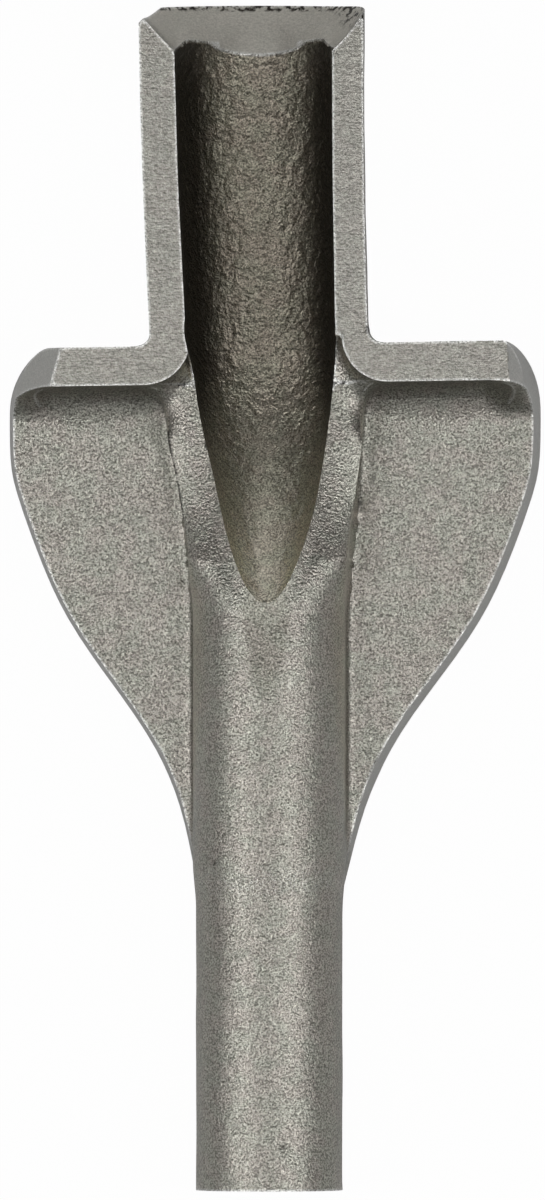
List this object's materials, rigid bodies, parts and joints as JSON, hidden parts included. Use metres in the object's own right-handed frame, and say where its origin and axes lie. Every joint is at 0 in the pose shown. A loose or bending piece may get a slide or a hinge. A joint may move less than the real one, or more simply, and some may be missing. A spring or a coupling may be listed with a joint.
{
  "type": "joint chisel",
  "caption": "Forged steel chisel head with an open trough ending in a bevelled cutting edge, wide wings with turned-up shoulders, and a round shank.",
  "frame": {"origin": "centre of the shank's flat end face", "axes": "+Y runs along the tool from the shank to the cutting edge, +X across the wings, +Z out of the open trough"},
  "size_m": [0.0508, 0.1127, 0.0146],
  "materials": {
    "steel": "shot-blasted forging skin, satin, with ground rims and cutting edge"
  },
  "bodies": {
    "root": {"joint_chisel": "steel"}
  },
  "joints": []
}
